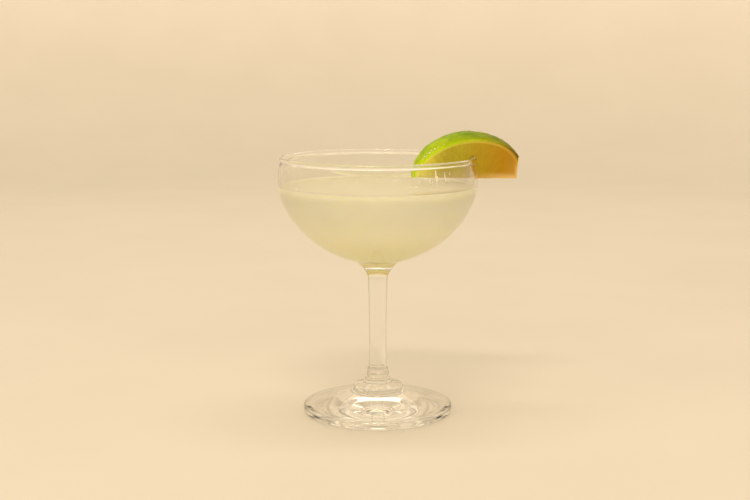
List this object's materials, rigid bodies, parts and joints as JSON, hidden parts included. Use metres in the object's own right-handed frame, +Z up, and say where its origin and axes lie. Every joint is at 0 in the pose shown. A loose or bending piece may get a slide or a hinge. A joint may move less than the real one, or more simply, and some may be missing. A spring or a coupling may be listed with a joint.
{
  "type": "daiquiri",
  "caption": "Cloudy lime cocktail in a round stemmed coupe glass with a ringed foot, and a lime wedge slit over the rim.",
  "frame": {"origin": "centre of the foot's underside, on the glass's own axis", "axes": "+Z up the stem, +X towards the lime wedge on the rim, +Y towards the back of the glass as it faces the viewer"},
  "size_m": [0.1214, 0.0996, 0.1419],
  "materials": {
    "clear_glass": "clear, fire-polished",
    "cloudy_drink": "cloudy pale green-yellow liquid, still and glossy",
    "lime": "waxy green rind, wet translucent flesh"
  },
  "bodies": {
    "root": {"coupe_glass": "clear_glass", "drink": "cloudy_drink", "lime_wedge": "lime"}
  },
  "joints": []
}
